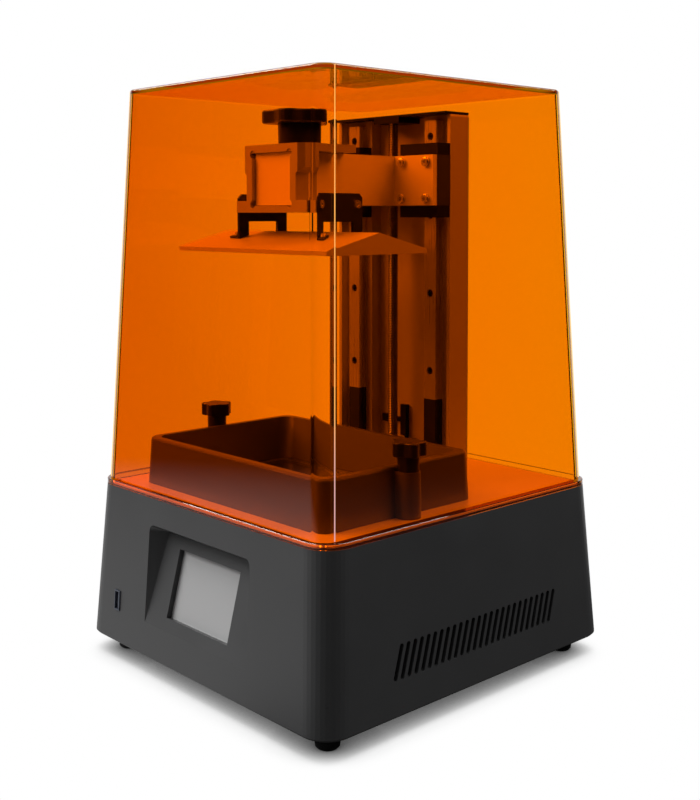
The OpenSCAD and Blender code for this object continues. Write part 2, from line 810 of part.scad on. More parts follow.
// Clamp that slides over the arm's end: framed front with relieved corners, top bar and wide foot
module clamp_head() {
    hole_w = arm_w + 2 * fit_gap;
    hole_h = arm_h + 2 * fit_gap;
    head_top = arm_top + head_top_t;
    waist_z = arm_top - 11.2;
    foot_top = arm_z + 3.2;
    relief_r = 3;
    bevel_side = head_bevel * sqrt(2);
    color([0.7, 0.7, 0.71]) difference() {
        union() {
            // front frame, wide at the top, waisted, and wide again at the foot
            translate([0, head_y0 + head_front_t, 0])
                rotate([90, 0, 0]) linear_extrude(head_front_t) difference() {
                polygon([
                    [-foot_w / 2, head_foot_z], [foot_w / 2, head_foot_z], [foot_w / 2, foot_top],
                    [neck_w / 2, foot_top], [neck_w / 2, waist_z - 4.2], [head_w / 2, waist_z],
                    [head_w / 2, head_top], [-head_w / 2, head_top], [-head_w / 2, waist_z],
                    [-neck_w / 2, waist_z - 4.2], [-neck_w / 2, foot_top], [-foot_w / 2, foot_top]
                ]);
                translate([-hole_w / 2, arm_z - fit_gap]) square([hole_w, hole_h]);
                for (x = [-1, 1], z = [0, 1])
                    translate([x * (hole_w / 2 - 1), arm_z - fit_gap + 1 + z * (hole_h - 2)]) circle(relief_r, $fn = 32);
            }
            // top bar over the arm
            translate([-head_w / 2, head_y0 + 1, arm_top + fit_gap])
                cube([head_w, head_depth - 1, head_top_t - fit_gap]);
            // foot under the arm, with a raised edge that the side brackets are screwed to
            translate([-foot_w / 2, head_y0 + 3, head_foot_z]) cube([foot_w, head_depth - 3, head_foot_t - fit_gap]);
            for (side = [-1, 1]) translate([side * (foot_w / 2 - 4) - 4, head_y0 + 3, head_foot_z])
                cube([8, head_depth - 3, foot_top - head_foot_z]);
        }
        // bevels on the front corners
        for (side = [-1, 1]) translate([side * head_w / 2, head_y0, arm_z + 8]) rotate([0, 0, 45])
            translate([-bevel_side / 2, -bevel_side / 2, 0]) cube([bevel_side, bevel_side, arm_h + 10]);
        translate([0, -plate_y, arm_top - 1]) cylinder(r = stud_r + running_gap, h = head_top_t + 4);
        bracket_screw_places() along_x(1.6, 8);
    }
}

module bracket_screw_places() {
    for (y = [-1, 1]) translate([foot_w / 2 - 6, -plate_y + y * 17, arm_z + 0.6]) children();
    for (y = [-1, 1]) translate([-foot_w / 2 + 6, -plate_y + y * 17, arm_z + 0.6]) mirror([1, 0, 0]) children();
}

bracket_top = arm_z + 8.4;
bracket_bar = arm_z - 12;

function gable_z(y) = plate_z + plate_ridge - abs(y) * tan(gable_angle);

// Folded sheet bracket: two legs down to the sloping plate, each with a foot turned outwards
module side_bracket() {
    half = bracket_w / 2;
    x0 = foot_w / 2 + fit_gap / 2;
    difference() {
        translate([x0, -plate_y, 0]) rotate([90, 0, 90]) linear_extrude(bracket_t) union() {
            polygon([
                [-half, gable_z(half) + 0.3], [-half + bracket_leg, gable_z(half - bracket_leg) + 0.3],
                [-half + bracket_leg, bracket_bar], [half - bracket_leg, bracket_bar],
                [half - bracket_leg, gable_z(half - bracket_leg) + 0.3], [half, gable_z(half) + 0.3],
                [half, bracket_top - 3], [half - 3, bracket_top], [-half + 3, bracket_top], [-half, bracket_top - 3]
            ]);
        }
        bracket_screw_places() along_x(1.7, 12);
    }
    for (end = [-1, 1])
        translate([x0, -plate_y + end * (half - bracket_leg / 2), gable_z(half - bracket_leg / 2) + 0.3])
            rotate([-end * gable_angle, 0, 0]) difference() {
                translate([0, -bracket_leg / 2 + 0.2, 0]) cube([12, bracket_leg - 0.4, 1.6]);
                translate([7.5, 0, -1]) cylinder(r = 1.7, h = 4);
            }
}

module bracket_left() { color([0.04, 0.04, 0.04]) mirror([1, 0, 0]) side_bracket(); }

module bracket_right() { color([0.04, 0.04, 0.04]) side_bracket(); }

module bracket_screws() {
    x0 = foot_w / 2 + fit_gap / 2;
    half = bracket_w / 2;
    color([0.6, 0.6, 0.6]) for (side = [0, 1]) mirror([side, 0, 0]) {
        for (y = [-1, 1]) translate([x0 + bracket_t, -plate_y + y * 17, arm_z + 0.6]) rotate([0, 90, 0])
            cap_screw(2.9, 2.2, 1.4, bracket_t + 5);
        for (end = [-1, 1])
            translate([x0, -plate_y + end * (half - bracket_leg / 2), gable_z(half - bracket_leg / 2) + 0.3])
                rotate([-end * gable_angle, 0, 0]) translate([7.5, 0, 1.6]) cap_screw(2.7, 2.2, 1.4, 1.4);
    }
}

// Build plate: flat below, gabled above so that resin runs off
module build_plate() {
    half = plate_d / 2;
    color([0.72, 0.72, 0.73]) translate([-plate_w / 2, -plate_y, 0])
        rotate([90, 0, 90]) linear_extrude(plate_w) polygon([
            [-half, plate_z], [half, plate_z], [half, plate_z + plate_edge],
            [0, plate_z + plate_ridge], [-half, plate_z + plate_edge]
        ]);
}

// Outline of a five lobed knob, one lobe pointing to +X
module star_outline(r) {
    steps = 60;
    polygon([for (i = [0 : steps - 1]) let (a = i * 360 / steps, reach = r * (0.89 + 0.11 * cos(5 * a)))
        [reach * cos(a), reach * sin(a)]]);
}

// Star knob standing on z = 0: stem, then a head with broken edges
module star_knob(r, head_h, stem_r, stem_h, turn) {
    edge = 0.04 * r;
    rotate(turn) {
        translate([0, 0, stem_h + edge]) linear_extrude(head_h - 2 * edge) star_outline(r);
        translate([0, 0, stem_h + head_h - edge - eps]) linear_extrude(edge, scale = 0.96) star_outline(r);
        translate([0, 0, stem_h + edge + eps]) mirror([0, 0, 1]) linear_extrude(edge, scale = 0.96) star_outline(r);
    }
    cylinder(r1 = 0.97 * stem_r, r2 = stem_r, h = stem_h + edge + 1);
}

module clamp_knob() {
    knob_z = arm_top + head_top_t + fit_gap;
    color([0.03, 0.03, 0.03]) translate([0, -plate_y, knob_z]) {
        star_knob(knob_r, knob_head_h, 0.555 * knob_r, knob_stem_h, 227);
        translate([0, 0, -head_top_t - fit_gap + 0.4]) cylinder(r = stud_r, h = head_top_t + fit_gap);
    }
}

vat_foot_w = vat_w + 2 * vat_lean;
vat_foot_d = vat_d + 2 * vat_lean;
vat_corner_r = 10;
vat_edge = 1.6;
vat_ear_r = 8.4;
vat_stud_r = 2.5;
vat_stem_r = 0.62 * vat_knob_r;
vat_knob_head_h = 9.6;
vat_knob_stem_h = 10.6;
vat_top = deck_z + vat_h;
vat_ear_top = deck_z + vat_h - 3.2;
film_half_w = plate_w / 2 + 3;
film_half_d = plate_d / 2 + 9;

module vat() {
    color([0.14, 0.14, 0.14]) difference() {
        union() {
            translate([0, -vat_y, deck_z])
                leaning_box(vat_foot_w, vat_foot_d, vat_h - vat_edge, vat_corner_r, vat_lean, vat_lean);
            // rounded upper edge of the rim
            translate([0, -vat_y, vat_top - vat_edge - eps]) hull() {
                round_slab(vat_w, vat_d, slab, vat_corner_r);
                translate([0, 0, 0.6 * vat_edge])
                    round_slab(vat_w - 0.5 * vat_edge, vat_d - 0.5 * vat_edge, slab,
                        vat_corner_r - 0.25 * vat_edge);
                translate([0, 0, vat_edge])
                    round_slab(vat_w - 2 * vat_edge, vat_d - 2 * vat_edge, slab, vat_corner_r - vat_edge);
            }
            for (side = [-1, 1]) translate([side * vat_knob_x, -vat_y, deck_z]) {
                cylinder(r1 = vat_ear_r + 0.4, r2 = vat_ear_r, h = vat_ear_top - deck_z);
                translate([side > 0 ? -10 : 0, -vat_ear_r, 0]) cube([10, 2 * vat_ear_r, vat_ear_top - deck_z]);
            }
        }
        translate([0, -vat_y, deck_z + 3]) hull() {
            $fn = 40;
            round_slab(2 * film_half_w, 2 * film_half_d, slab, 10);
            translate([0, 0, vat_h]) round_slab(vat_w - 2 * vat_wall, vat_d - 2 * vat_wall, slab, 9);
        }
        translate([0, -vat_y, deck_z - 1]) round_slab(2 * film_half_w, 2 * film_half_d, 6, 10);
        translate([0, -vat_y, deck_z - 1])
            round_slab(2 * film_half_w + 12 + 2 * fit_gap, 2 * film_half_d + 12 + 2 * fit_gap, 3.6, 12);
        for (side = [-1, 1]) translate([side * vat_knob_x, -vat_y, deck_z - 1])
            cylinder(r = vat_stud_r + running_gap, h = vat_h + 2);
        // spot faces that let the knobs' stems stand close to the rim
        for (side = [-1, 1]) translate([side * vat_knob_x, -vat_y, vat_ear_top])
            cylinder(r = vat_stem_r + fit_gap, h = vat_h);
    }
}

module film_frame() {
    color([0.6, 0.6, 0.6]) translate([0, -vat_y, deck_z + 0.7]) difference() {
        round_slab(2 * film_half_w + 12, 2 * film_half_d + 12, 1.8, 11.5);
        translate([0, 0, -1]) round_slab(2 * film_half_w, 2 * film_half_d, 4, 8);
    }
}

module release_film() {
    color([0.85, 0.88, 0.9]) translate([0, -vat_y, deck_z + 0.2])
        round_slab(2 * film_half_w + 11, 2 * film_half_d + 11, 0.5, 11);
}

module vat_knob(side) {
    translate([side * vat_knob_x, -vat_y, vat_ear_top + fit_gap / 2]) {
        star_knob(vat_knob_r, vat_knob_head_h, vat_stem_r, vat_knob_stem_h, side > 0 ? 262 : 227);
        translate([0, 0, -vat_ear_top + deck_z - deck_t - fit_gap / 2])
            cylinder(r = vat_stud_r, h = vat_ear_top - deck_z + deck_t + 1);
    }
}

module vat_knob_left() { color([0.03, 0.03, 0.03]) vat_knob(-1); }

module vat_knob_right() { color([0.03, 0.03, 0.03]) vat_knob(1); }

// Amber cover: five leaning walls and a flange that rests on the housing's rim
module cover() {
    flange_gap = 0.3;
    color([1, 0.45, 0, 0.5]) translate([0, 0, rim_z]) difference() {
        union() {
            leaning_box(cover_w, cover_d, cover_h, cover_r, cover_lean_x, cover_lean_y);
            round_slab(rim_w - 2 * flange_gap, rim_d - 2 * flange_gap, flange_t, corner_r - 1);
        }
        translate([0, 0, -1]) leaning_box(cover_w - 2 * cover_wall, cover_d - 2 * cover_wall,
            cover_h - cover_wall + 1, cover_r - cover_wall, cover_lean_x, cover_lean_y);
    }
}

housing();
bottom_plate();
rubber_feet();
deck();
deck_screws();
exposure_window();
light_hood();
led_board();
heat_sink();
touch_screen();
usb_socket();
main_board();
fan_frame();
fan_rotor();
fan_guard();
power_socket();
switch_frame();
switch_rocker();
column();
rail_left();
rail_right();
rail_foot_left();
rail_foot_right();
rail_screws();
z_motor();
motor_shaft();
coupler();
lead_screw();
top_bearing();
limit_sensor();
block_left();
block_right();
block_caps();
lift_arm();
arm_screws();
screw_nut();
clamp_head();
bracket_left();
bracket_right();
bracket_screws();
build_plate();
clamp_knob();
vat();
film_frame();
release_film();
vat_knob_left();
vat_knob_right();
cover();
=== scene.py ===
"""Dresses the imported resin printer: finishes, amber cover, screw thread, stage, light and camera."""
import json
import math

import bmesh
import bpy
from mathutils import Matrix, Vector


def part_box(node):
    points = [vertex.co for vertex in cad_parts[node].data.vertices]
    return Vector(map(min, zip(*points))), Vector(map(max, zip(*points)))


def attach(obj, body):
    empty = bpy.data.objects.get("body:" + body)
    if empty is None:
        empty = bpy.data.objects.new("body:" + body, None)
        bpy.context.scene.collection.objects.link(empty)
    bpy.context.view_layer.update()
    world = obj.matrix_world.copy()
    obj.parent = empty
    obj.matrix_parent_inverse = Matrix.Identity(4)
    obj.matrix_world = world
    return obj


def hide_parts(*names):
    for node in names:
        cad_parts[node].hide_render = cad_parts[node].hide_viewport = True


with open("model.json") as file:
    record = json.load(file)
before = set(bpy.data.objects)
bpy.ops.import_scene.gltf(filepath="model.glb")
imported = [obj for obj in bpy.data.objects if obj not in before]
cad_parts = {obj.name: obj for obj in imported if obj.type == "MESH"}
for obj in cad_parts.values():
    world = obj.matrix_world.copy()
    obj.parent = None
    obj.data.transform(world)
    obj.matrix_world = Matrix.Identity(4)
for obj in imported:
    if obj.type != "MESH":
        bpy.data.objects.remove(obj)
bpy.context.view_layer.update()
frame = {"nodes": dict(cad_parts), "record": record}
slot_of = {part["node"]: part["material_slot"] for part in frame["record"]["subparts"]}


# ---------------------------------------------------------------- shader maths

class Val:
    """A value, colour or vector in a node tree. Arithmetic on values adds Math nodes."""

    def __init__(self, finish, socket):
        self.finish, self.socket = finish, socket

    def math(self, operation, *values):
        return self.finish.node("ShaderNodeMath", {"operation": operation}, dict(enumerate(values)))

    def __add__(self, other):
        return self.math("ADD", self, other)

    def __radd__(self, other):
        return self.math("ADD", other, self)

    def __sub__(self, other):
        return self.math("SUBTRACT", self, other)

    def __rsub__(self, other):
        return self.math("SUBTRACT", other, self)

    def __mul__(self, other):
        return self.math("MULTIPLY", self, other)

    def __rmul__(self, other):
        return self.math("MULTIPLY", other, self)

    def __truediv__(self, other):
        return self.math("DIVIDE", self, other)

    def least(self, other):
        return self.math("MINIMUM", self, other)

    def most(self, other):
        return self.math("MAXIMUM", self, other)

    def step(self, low, high):
        """0 below low, 1 above high, smooth between."""
        return self.finish.node(
            "ShaderNodeMapRange", {"interpolation_type": "SMOOTHSTEP"},
            {"Value": self, "From Min": low, "From Max": high, "To Min": 0.0, "To Max": 1.0})


class Finish:
    """The node tree of one material, or of the world."""

    def __init__(self, owner):
        owner.use_nodes = True
        self.owner, self.tree = owner, owner.node_tree
        self.tree.nodes.clear()

    def node(self, kind, settings=None, inputs=None, out=0):
        """Any node: its type, its settings, the values or links of its sockets, and the output to use."""
        made = self.tree.nodes.new(kind)
        for name, value in (settings or {}).items():
            setattr(made, name, value)
        for name, value in (inputs or {}).items():
            self.feed(made.inputs[name], value)
        return Val(self, made.outputs[out])

    def feed(self, socket, value):
        if isinstance(value, Val):
            self.tree.links.new(value.socket, socket)
        elif isinstance(value, (tuple, list)) and len(value) == 3 and len(socket.default_value) == 4:
            socket.default_value = (*value, 1.0)
        else:
            socket.default_value = value

    def place(self):
        """The point on the piece, in metres."""
        return self.node("ShaderNodeTexCoord", out="Object")

    def along_axis(self, axis):
        """The point's distance along X, Y or Z, in metres."""
        return self.node("ShaderNodeSeparateXYZ", {}, {"Vector": self.place()}, out=axis)

    def dot(self, first, second):
        return self.node("ShaderNodeVectorMath", {"operation": "DOT_PRODUCT"}, {0: first, 1: second},
                         out="Value")

    def noise(self, size, rough=0.55, stretch=(1, 1, 1)):
        """Noise from 0 to 1 whose blobs are about size metres wide."""
        scale = tuple(s / size for s in stretch)
        spot = self.node("ShaderNodeMapping", {}, {"Vector": self.place(), "Scale": scale})
        return self.node("ShaderNodeTexNoise", {},
                         {"Vector": spot, "Scale": 1.0, "Detail": 2.0, "Roughness": rough})

    def blend(self, share, first, second):
        """Colour that goes from first to second as share goes from 0 to 1."""
        return self.node("ShaderNodeMix", {"data_type": "RGBA"}, {0: share, 6: first, 7: second}, out=2)

    def bump(self, height, depth):
        return self.node("ShaderNodeBump", {}, {"Height": height, "Distance": depth, "Strength": 1.0})

    def light_ray(self, which):
        return self.node("ShaderNodeLightPath", out=which)

    def clear(self, colour):
        """Lets light straight through, tinted."""
        return self.node("ShaderNodeBsdfTransparent", {}, {"Color": colour})

    def mix_shader(self, share, first, second):
        return self.node("ShaderNodeMixShader", {}, {0: share, 1: first, 2: second})

    def shader(self, **inputs):
        """Principled shader; an underscore in a name stands for a space in the socket's."""
        names = {name.replace("_", " "): value for name, value in inputs.items()}
        return self.node("ShaderNodeBsdfPrincipled", {}, names)

    def close(self, shader, kind="ShaderNodeOutputMaterial"):
        end = self.tree.nodes.new(kind)
        self.tree.links.new(shader.socket, end.inputs["Surface"])
        return self.owner


# ---------------------------------------------------------------- finishes

finishes = {}


def material(name):
    """A new material, kept in finishes under its name."""
    finishes[name] = bpy.data.materials.new(name)
    return Finish(finishes[name])


def shades(colour, drift):
    """A colour's darker and lighter shade, each by the share drift."""
    return tuple(c * (1 - drift) for c in colour), tuple(min(1.0, c * (1 + drift)) for c in colour)


def moulded(name, colour, rough=0.4, grain=0.0004, depth=0.00003, level=0.5, drift=0.12):
    """Moulded plastic or powder coat: fine even grain, faint cloudiness in colour and gloss."""
    m = material(name)
    cloud = m.noise(0.05)
    fine = m.noise(grain)
    m.close(m.shader(
        Base_Color=m.blend(cloud, *shades(colour, drift)),
        Roughness=rough + (cloud - 0.5) * 0.12 + (fine - 0.5) * 0.1,
        Specular_IOR_Level=level,
        Normal=m.bump(fine, depth)))


def metal(name, colour, rough=0.4, brushed=(1, 1, 1), metallic=1.0):
    """Bare or anodised metal, brushed along the axis whose stretch is small."""
    m = material(name)
    lines = m.noise(0.0006, rough=0.6, stretch=brushed)
    cloud = m.noise(0.03)
    m.close(m.shader(
        Base_Color=m.blend(lines, *shades(colour, 0.08)),
        Metallic=metallic,
        Roughness=rough + (lines - 0.5) * 0.18 + (cloud - 0.5) * 0.08,
        Normal=m.bump(lines, 0.00001)))


moulded("housing_dark", (0.026, 0.026, 0.0265), rough=0.46, grain=0.0006, depth=0.000012)
moulded("sheet_dark", (0.04, 0.04, 0.042), rough=0.45)
moulded("rubber_black", (0.01, 0.01, 0.01), rough=0.75, grain=0.0008, depth=0.00004, level=0.3)
moulded("window_black", (0.01, 0.01, 0.012), rough=0.06, grain=0.002, depth=0.000001, drift=0.02)
moulded("screen_grey", (0.28, 0.28, 0.28), rough=0.14, grain=0.002, depth=0.000001, drift=0.02)
moulded("film_clear", (0.02, 0.02, 0.022), rough=0.15, grain=0.004, depth=0.000002, drift=0.05)
moulded("board_white", (0.8, 0.8, 0.78), rough=0.5)
moulded("board_green", (0.02, 0.12, 0.05))
moulded("port_dark", (0.03, 0.035, 0.05))
moulded("motor_dark", (0.03, 0.03, 0.03))
moulded("plastic_black", (0.005, 0.005, 0.005), grain=0.0006, depth=0.00002, level=0.2)
moulded("black_steel", (0.01, 0.01, 0.01), rough=0.38, grain=0.0005, depth=0.00001)
moulded("knob_black", (0.008, 0.008, 0.008), rough=0.34, grain=0.001, depth=0.00001)

metal("deck_metal", (0.78, 0.77, 0.75), rough=0.34, brushed=(1, 0.04, 1), metallic=0.35)
metal("screw_steel", (0.8, 0.79, 0.78), rough=0.22, metallic=0.75)
metal("thread_dark", (0.16, 0.155, 0.15), rough=0.26, metallic=0.8)
metal("sheet_bright", (0.6, 0.6, 0.6))
metal("nut_brass", (0.62, 0.45, 0.18), rough=0.35)
metal("column_dark", (0.46, 0.45, 0.44), rough=0.48, brushed=(1, 1, 0.05), metallic=0.2)
metal("rail_steel", (0.66, 0.65, 0.64), rough=0.3, brushed=(1, 1, 0.03), metallic=0.6)
metal("head_bright", (0.48, 0.47, 0.46), brushed=(1, 1, 0.1), metallic=0.4)
metal("block_metal", (0.05, 0.048, 0.046), brushed=(1, 1, 0.06), metallic=0.4)
metal("arm_metal", (0.88, 0.87, 0.86), rough=0.44, brushed=(1, 0.06, 1), metallic=0.25)
metal("plate_metal", (0.62, 0.61, 0.6), rough=0.45, brushed=(0.08, 1, 1), metallic=0.4)
metal("vat_dark", (0.09, 0.087, 0.084), rough=0.36, brushed=(0.2, 0.2, 1), metallic=0.3)


def amber(name):
    """Clear amber acrylic, its colour painted deeper to the left as painted shade of that less lit side. It
    bends what is seen through it, while light that only lights what is inside goes straight through, tinted,
    as does what was mirrored inside the cover."""
    m = material(name)
    reach = 0.125
    # painted shade: the share runs deeper towards -X, where the cover is less lit; the noise is random tone
    share = (m.along_axis("X") + reach) / (2 * reach) + (m.noise(0.08) - 0.5) * 0.15
    body = m.shader(Base_Color=m.blend(share, (1.0, 0.378, 0.0003), (1.0, 0.485, 0.0006)),
                    Roughness=0.0, IOR=1.42, Transmission_Weight=1.0)
    tinted, dimmed = m.clear((0.985, 0.51, 0.02)), m.clear((0.35, 0.17, 0.006))
    mirrored = m.light_ray("Is Reflection Ray")
    first = 1.0 - m.light_ray("Transparent Depth").least(1.0)
    leaving = m.node("ShaderNodeNewGeometry", out="Backfacing")
    held_in_wall = mirrored * m.light_ray("Is Singular Ray") * leaving * first
    straight = m.mix_shader(held_in_wall, tinted, dimmed)
    m.close(m.mix_shader(m.light_ray("Is Shadow Ray").most(mirrored), body, straight))


def painted_edge_glow(name, upper, lower):
    """Painted highlight along an edge of the acrylic: it glows with its own emission, though it is no lamp;
    its colour turns just above the vat.
    """
    m = material(name)
    run = m.along_axis("Z").step(0.17, 0.22) + (m.noise(0.04) - 0.5) * 0.2
    m.close(m.shader(Base_Color=m.blend(run, (0.1, 0.05, 0.03), (0.1, 0.04, 0.01)), Roughness=0.25,
                     Emission_Color=m.blend(run, lower, upper), Emission_Strength=1.0))


amber("cover_amber")
# Painted highlights for the cover's corners, glowing by emission.
painted_edge_glow("corner_painted_highlight", (1.0, 0.44, 0.09), (0.68, 0.38, 0.34))
painted_edge_glow("cover_painted_edge_highlight", (1.0, 0.68, 0.27), (1.0, 0.66, 0.24))


# ---------------------------------------------------------------- mesh help

def keep_flats_even(piece):
    piece.modifiers.new("even_normals", "WEIGHTED_NORMAL").keep_sharp = True


def smooth(mesh, sharp_from):
    """Smooth faces, apart from edges sharper than sharp_from degrees."""
    mesh.polygons.foreach_set("use_smooth", [True] * len(mesh.polygons))
    mesh.set_sharp_from_angle(angle=math.radians(sharp_from))


def piece_from(bm, name, finish, body, replaces=()):
    """Turns a mesh in the making into a piece that rides on a body."""
    bmesh.ops.recalc_face_normals(bm, faces=bm.faces)
    mesh = bpy.data.meshes.new(name)
    bm.to_mesh(mesh)
    bm.free()
    smooth(mesh, sharp_from=35)
    made = bpy.data.objects.new(name, mesh)
    bpy.context.scene.collection.objects.link(made)
    made.data.materials.append(finishes[finish])
    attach(made, body)
    if replaces:
        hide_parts(*replaces)
    return made


def round_the_circle(count):
    return [2 * math.pi * k / count for k in range(count)]


def ring(half_x, half_y, radius, z, steps):
    """Points of a rectangle with round corners at height z, counter-clockwise."""
    points = []
    for sx, sy, start in ((1, 1, 0), (-1, 1, 90), (-1, -1, 180), (1, -1, 270)):
        for i in range(steps + 1):
            a = math.radians(start + 90 * i / steps)
            points.append((sx * (half_x - radius) + radius * math.cos(a),
                           sy * (half_y - radius) + radius * math.sin(a), z))
    return points


def loft(bm, rings, close_first=False, close_last=False):
    """Skin through rings of equal length; the ends may be closed with a face."""
    rows = [[bm.verts.new(p) for p in points] for points in rings]
    for low, high in zip(rows, rows[1:]):
        for i in range(len(low)):
            j = (i + 1) % len(low)
            bm.faces.new((low[i], low[j], high[j], high[i]))
    if close_first:
        bm.faces.new(rows[0][::-1])
    if close_last:
        bm.faces.new(rows[-1])
    return rows


def islands(node):
    """Lowest and highest corner of each separate solid of a node."""
    bm = bmesh.new()
    bm.from_mesh(frame["nodes"][node].data)
    bmesh.ops.remove_doubles(bm, verts=bm.verts, dist=1e-6)
    left, found = set(bm.verts), []
    while left:
        queue, group = [left.pop()], []
        while queue:
            v = queue.pop()
            group.append(v.co.copy())
            for edge in v.link_edges:
                w = edge.other_vert(v)
                if w in left:
                    left.remove(w)
                    queue.append(w)
        found.append((Vector(min(c[i] for c in group) for i in range(3)),
                      Vector(max(c[i] for c in group) for i in range(3))))
    bm.free()
    return found


# ---------------------------------------------------------------- pieces

def finish_solids():
    """Each solid of the frame gets the finish of its slot and even shading."""
    for name, piece in frame["nodes"].items():
        piece.data.materials.clear()
        piece.data.materials.append(finishes[slot_of[name]])
        smooth(piece.data, sharp_from=28)
        keep_flats_even(piece)


# Outer wall of the cover: half its width and depth at the foot, and how far each wall leans in.
COVER_FOOT = Vector((0.1272, 0.1348))
COVER_LEAN = Vector((0.013, 0.012))
COVER_WALL = 0.003
COVER_CORNER = 0.012


def make_cover():
    """Hollow cover with leaning walls, a rounded upper edge and a flange at its foot."""
    low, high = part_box("cover")
    z0, z1 = low.z, high.z
    flange_h, flange_corner, flange_edge = 0.004, 0.019, 0.0004
    upper_edge, inner_fillet, least_corner = 0.0016, 0.001, 0.002
    steps, stations, edge_steps = 20, 8, 4

    def wall_at(z, inset=0.0):
        half = COVER_FOOT - COVER_LEAN * ((z - z0) / (z1 - z0))
        return ring(half.x - inset, half.y - inset, max(COVER_CORNER - inset, least_corner), z, steps)

    def wall_between(bottom, top, inset=0.0):
        return [wall_at(bottom + (top - bottom) * i / stations, inset) for i in range(stations + 1)]

    outside = [ring(high.x - inset, high.y - inset, flange_corner - inset, z, steps)
               for z, inset in ((z0, flange_edge), (z0 + flange_edge, 0.0),
                                (z0 + flange_h - flange_edge, 0.0), (z0 + flange_h, flange_edge))]
    outside += wall_between(z0 + flange_h, z1 - upper_edge)
    for i in range(1, edge_steps + 1):
        a = math.radians(90 * i / edge_steps)
        outside.append(wall_at(z1 - upper_edge + upper_edge * math.sin(a), upper_edge * (1 - math.cos(a))))
    inside = wall_between(z0, z1 - COVER_WALL - inner_fillet, COVER_WALL)
    inside.append(wall_at(z1 - COVER_WALL, COVER_WALL + inner_fillet))

    bm = bmesh.new()
    outer = loft(bm, outside, close_last=True)
    inner = loft(bm, inside, close_last=True)
    for i in range(len(outer[0])):
        j = (i + 1) % len(outer[0])
        bm.faces.new((inner[0][i], inner[0][j], outer[0][j], outer[0][i]))
    keep_flats_even(piece_from(bm, "amber_cover", "cover_amber", "hood", ["cover"]))


def make_painted_corner_highlight(name, finish, sx, sy, turn, thin):
    """Thin line of painted highlight down one rounded upright corner of the cover, at an angle of its arc."""
    low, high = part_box("cover")
    above_flange, below_top, sunk, stations, sides = 0.0045, 0.0012, 0.0001, 6, 8
    foot = Vector((*COVER_FOOT, low.z + above_flange))
    head = Vector((*(COVER_FOOT - COVER_LEAN), high.z - below_top))
    out = Vector((math.cos(math.radians(turn)), math.sin(math.radians(turn)), 0))
    across = Vector((-out.y, out.x, 0))
    rows = []
    for i in range(stations + 1):
        at = foot.lerp(head, i / stations)
        centre = Vector((sx * (at.x - COVER_CORNER), sy * (at.y - COVER_CORNER), at.z))
        centre += out * (COVER_CORNER - sunk)
        rows.append([centre + thin * (math.cos(a) * across + math.sin(a) * out)
                     for a in round_the_circle(sides)])
    bm = bmesh.new()
    loft(bm, rows, True, True)
    piece_from(bm, name, finish, "hood")


def make_top_plate():
    """Thin plate over the head of the column, with broken edges."""
    low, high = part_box("column")
    overhang, thick, edge, corner = 0.0055, 0.0019, 0.0003, 0.0006
    front, back = low.y - overhang, high.y
    middle = (front + back) / 2
    rows = []
    for z, inset in ((high.z - thick, edge), (high.z - thick + edge, 0.0),
                     (high.z - edge, 0.0), (high.z, edge)):
        outline = ring(high.x - inset, (back - front) / 2 - inset, corner, z, 3)
        rows.append([(x, y + middle, z) for x, y, _ in outline])
    bm = bmesh.new()
    loft(bm, rows, True, True)
    piece_from(bm, "column_top_plate", "plastic_black", "base")


def make_lead_screw():
    """Trapezoidal thread, two starts, as a skin over the whole length of the screw."""
    low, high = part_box("lead_screw")
    x, y = (low.x + high.x) / 2, (low.y + high.y) / 2
    outer = (high.x - low.x) / 2
    around, step, bevel, bevel_share = 20, 0.0005, 0.0006, 0.8
    pitch, starts, root_share, crest_share = 0.002, 2, 0.84, 0.155
    crest_half, flank = 0.2, 6.0

    def thread_radius(z, turn):
        """Radius of the thread at a height and a share of a turn."""
        wave = (z / pitch - starts * turn) % 1.0
        crest = min(1.0, max(0.0, 1.0 + flank * (crest_half - abs(wave - 0.5))))
        return outer * (root_share + crest_share * crest)

    def circle(z, radii):
        return [(x + r * math.cos(a), y + r * math.sin(a), z)
                for r, a in zip(radii, round_the_circle(around))]

    end = [bevel_share * outer] * around
    rows = [circle(low.z, end)]
    for i in range(int((high.z - low.z - 2 * bevel) / step) + 1):
        z = low.z + bevel + i * step
        rows.append(circle(z, [thread_radius(z, k / around) for k in range(around)]))
    rows.append(circle(high.z, end))
    bm = bmesh.new()
    loft(bm, rows, True, True)
    piece_from(bm, "lead_screw_thread", "thread_dark", "spindle", ["lead_screw"])


def make_arm_bolts():
    """Round heads with a hexagon socket, on shanks, one for each screw at the front of the arm's plate."""
    way = Vector((0, -1, 0))
    side = way.orthogonal().normalized()
    other = way.cross(side)
    widen, around = 1.3, 24
    head_share, shank, socket, fillet = 0.62, 0.5, 0.42, 0.0002

    def hexagon(a):
        """Reach of a hexagon at an angle, as a share of its corners'."""
        return math.cos(math.pi / 6) / math.cos((a % (math.pi / 3)) - math.pi / 6)

    bm = bmesh.new()
    for low, high in islands("arm_screws"):
        size = high - low
        length = size.y
        r = widen * min(size.x, size.z) / 2
        head = min(head_share * r, 0.5 * length)
        top = (low + high) / 2 + way * (length / 2)
        # Depth below the top, share of the radius, and whether the outline is the socket's hexagon.
        outlines = ((length, shank, False), (head + fillet, shank, False), (head, 0.94, False),
                    (0.72 * head, 1.0, False), (0.3 * head, 0.96, False), (0.08 * head, 0.84, False),
                    (0.0, 0.68, False), (0.0, socket + 0.04, True), (0.12 * head, socket, True),
                    (0.75 * head, socket, True))
        loft(bm, [[top - way * depth + r * share * (hexagon(a) if six else 1.0)
                   * (math.cos(a) * side + math.sin(a) * other) for a in round_the_circle(around)]
                  for depth, share, six in outlines], True, True)
    piece_from(bm, "arm_bolts", "screw_steel", "carriage", ["arm_screws"])


finish_solids()
make_cover()
